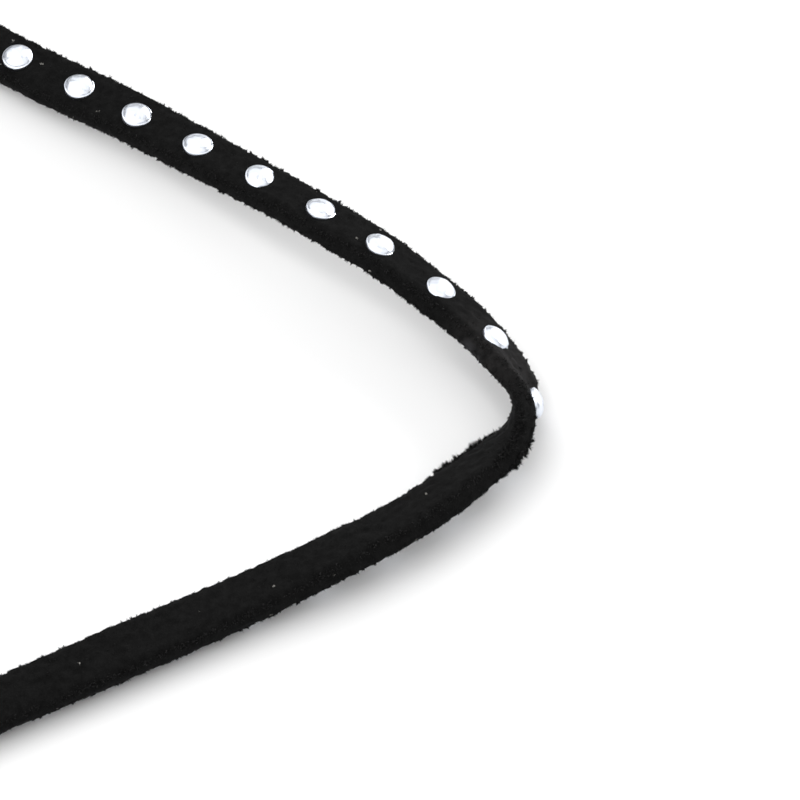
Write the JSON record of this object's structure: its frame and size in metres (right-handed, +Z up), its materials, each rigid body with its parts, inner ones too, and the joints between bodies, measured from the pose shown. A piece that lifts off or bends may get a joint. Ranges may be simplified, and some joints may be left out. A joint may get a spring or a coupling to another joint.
{
  "type": "choker necklace",
  "caption": "Flat black suede choker with a row of small polished domed studs, lying as a long loop with one turned bend.",
  "frame": {"origin": "on the floor, under the middle of the loop's bounding box", "axes": "+X along the loop from the clasp to the sharp bend, +Y to the strand whose studs face up, +Z up"},
  "size_m": [0.1414, 0.0776, 0.0039],
  "materials": {
    "suede": "napped black faux suede",
    "studs": "polished silver",
    "clasp": "plain silver"
  },
  "bodies": {
    "root": {"strap": "suede", "stud_01": "studs", "stud_02": "studs", "stud_03": "studs", "stud_04": "studs", "stud_05": "studs", "stud_06": "studs", "stud_07": "studs", "stud_08": "studs", "stud_09": "studs", "stud_10": "studs", "stud_11": "studs", "stud_12": "studs", "stud_13": "studs", "stud_14": "studs", "stud_15": "studs", "stud_16": "studs", "stud_17": "studs", "stud_18": "studs", "stud_19": "studs", "stud_20": "studs", "stud_21": "studs", "stud_22": "studs", "stud_23": "studs", "stud_24": "studs", "stud_25": "studs", "stud_26": "studs", "stud_27": "studs", "stud_28": "studs", "stud_29": "studs", "stud_30": "studs", "stud_31": "studs", "stud_32": "studs", "stud_33": "studs", "stud_34": "studs", "stud_35": "studs", "stud_36": "studs", "stud_37": "studs", "stud_38": "studs", "stud_39": "studs", "stud_40": "studs", "stud_41": "studs", "clasp": "clasp"}
  },
  "joints": []
}
